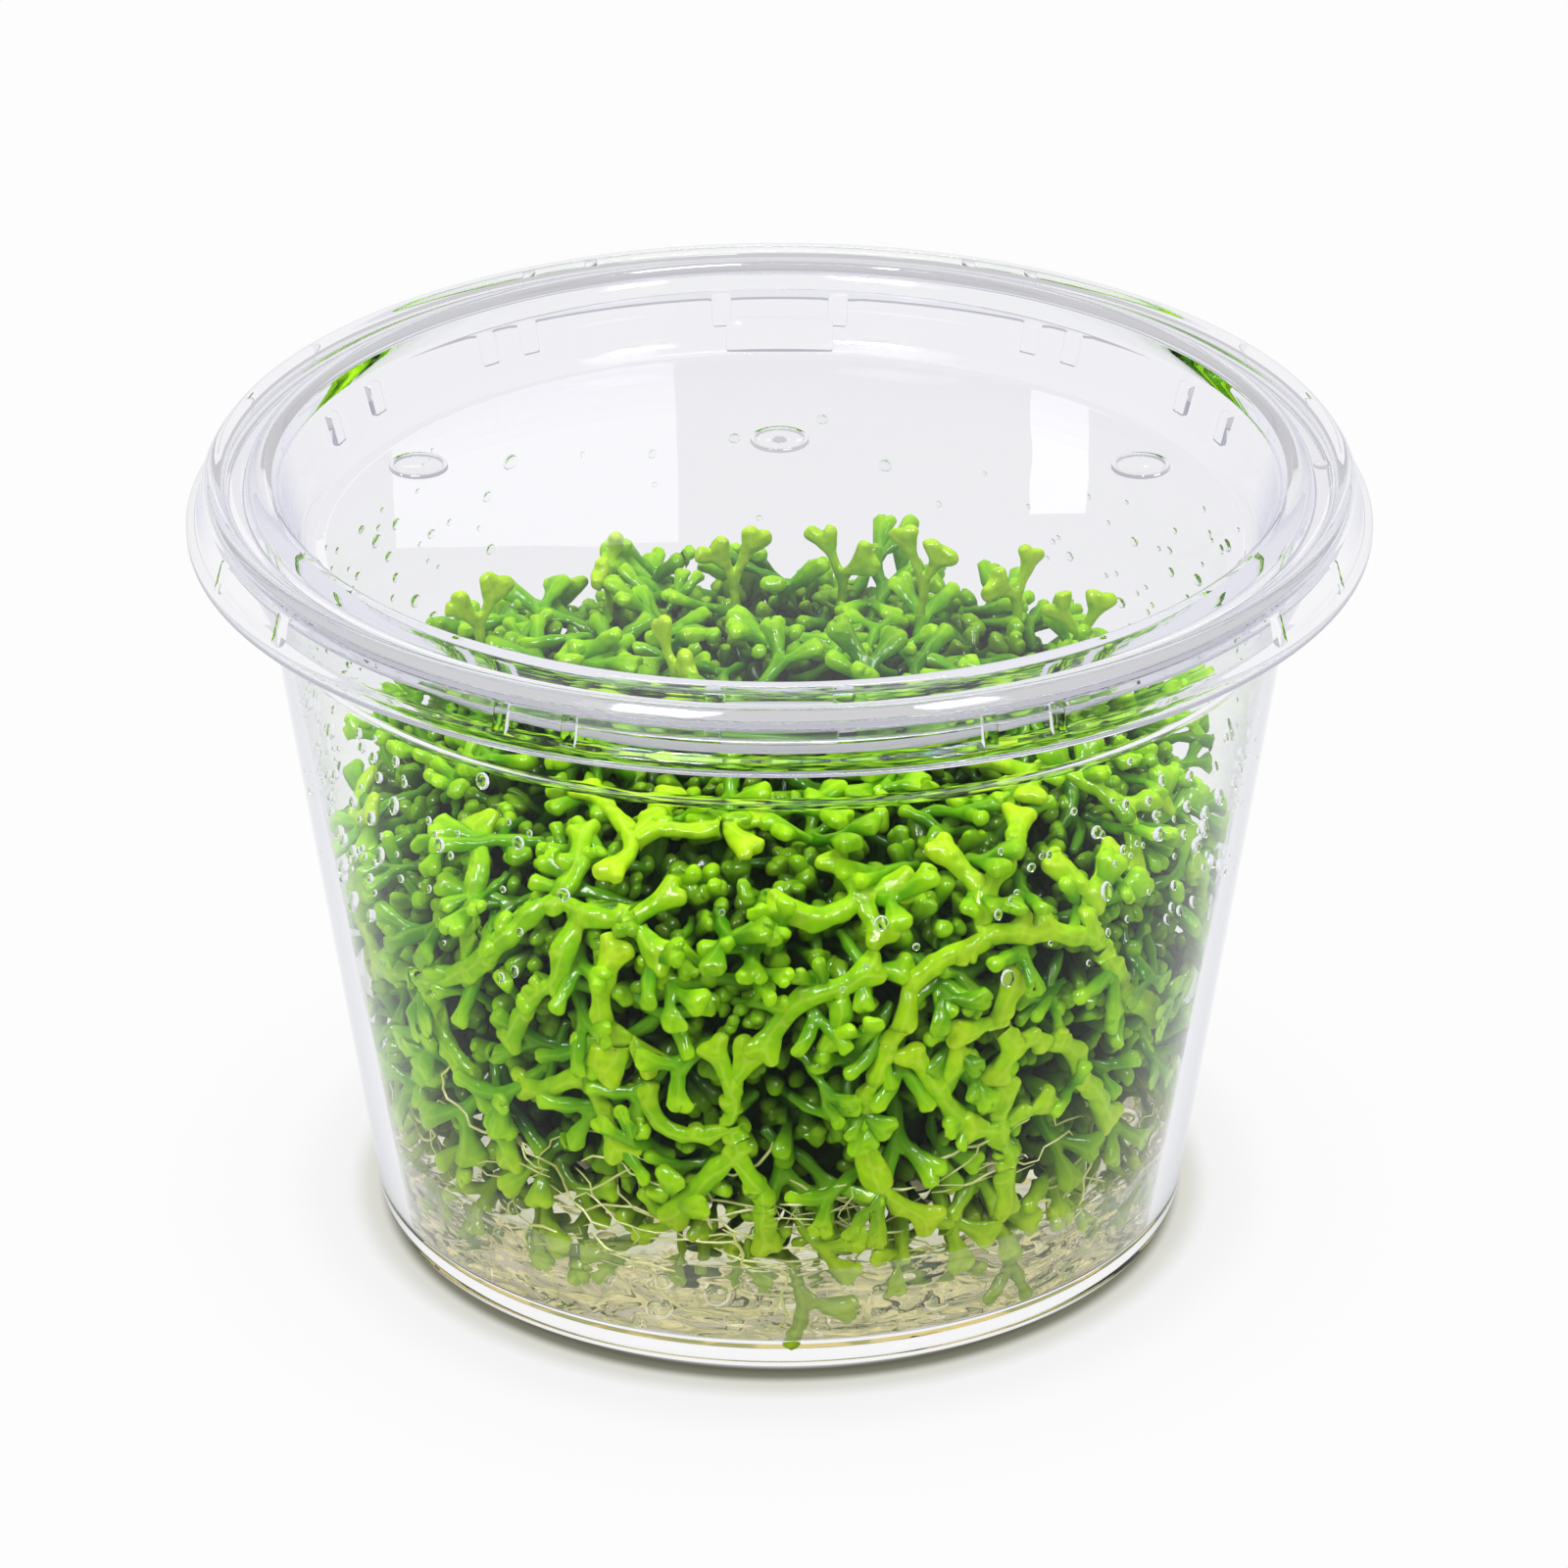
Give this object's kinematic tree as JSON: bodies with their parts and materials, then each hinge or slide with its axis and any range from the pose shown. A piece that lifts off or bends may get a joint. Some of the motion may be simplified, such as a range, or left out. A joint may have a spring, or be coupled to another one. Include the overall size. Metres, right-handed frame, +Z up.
{
  "type": "crystalwort tissue culture cup",
  "caption": "Clear lidded culture cup with a bed of nutrient gel and a mound of forked green crystalwort growing on it, for planting an aquarium.",
  "frame": {"origin": "on the surface that the cup stands on, under the cup's centre", "axes": "+Z up along the cup's axis; the front, with the longest strands against the wall, faces -Y"},
  "size_m": [0.1, 0.1, 0.068],
  "materials": {
    "cup_plastic": "crystal-clear thermoformed plastic, smooth and glossy, with condensation inside",
    "lid_plastic": "crystal-clear thermoformed plastic, smooth and glossy, crisp moulded ridges",
    "nutrient_gel": "soft clear agar gel, pale yellow, with small air bubbles",
    "packed_crystalwort": "densely packed narrow green thalli, wet, dark in the gaps",
    "crystalwort_strand": "wet translucent lime-green plant tissue with a faint mid line"
  },
  "bodies": {
    "root": {"cup": "cup_plastic", "lid": "lid_plastic", "nutrient_gel": "nutrient_gel", "crystalwort_mound": "packed_crystalwort", "strand_left_long": "crystalwort_strand", "strand_upper_left": "crystalwort_strand", "strand_left_drop": "crystalwort_strand", "strand_lower_left": "crystalwort_strand", "strand_front_foot": "crystalwort_strand", "strand_big_arch": "crystalwort_strand", "strand_right_middle": "crystalwort_strand", "strand_right_long": "crystalwort_strand", "strand_upper_right": "crystalwort_strand", "strand_middle_crown": "crystalwort_strand", "strand_middle_star": "crystalwort_strand", "strand_lower_right": "crystalwort_strand", "strand_front_short": "crystalwort_strand", "strand_far_right": "crystalwort_strand", "strand_far_left": "crystalwort_strand", "strand_back_right": "crystalwort_strand", "strand_back_middle": "crystalwort_strand", "strand_back_left": "crystalwort_strand", "strand_back_low": "crystalwort_strand", "tip_left": "crystalwort_strand", "tip_left_back": "crystalwort_strand", "tip_middle_left": "crystalwort_strand", "tip_middle_right": "crystalwort_strand", "tip_tall_right": "crystalwort_strand", "tip_right_back": "crystalwort_strand", "tip_right": "crystalwort_strand", "tip_centre": "crystalwort_strand"}
  },
  "joints": []
}
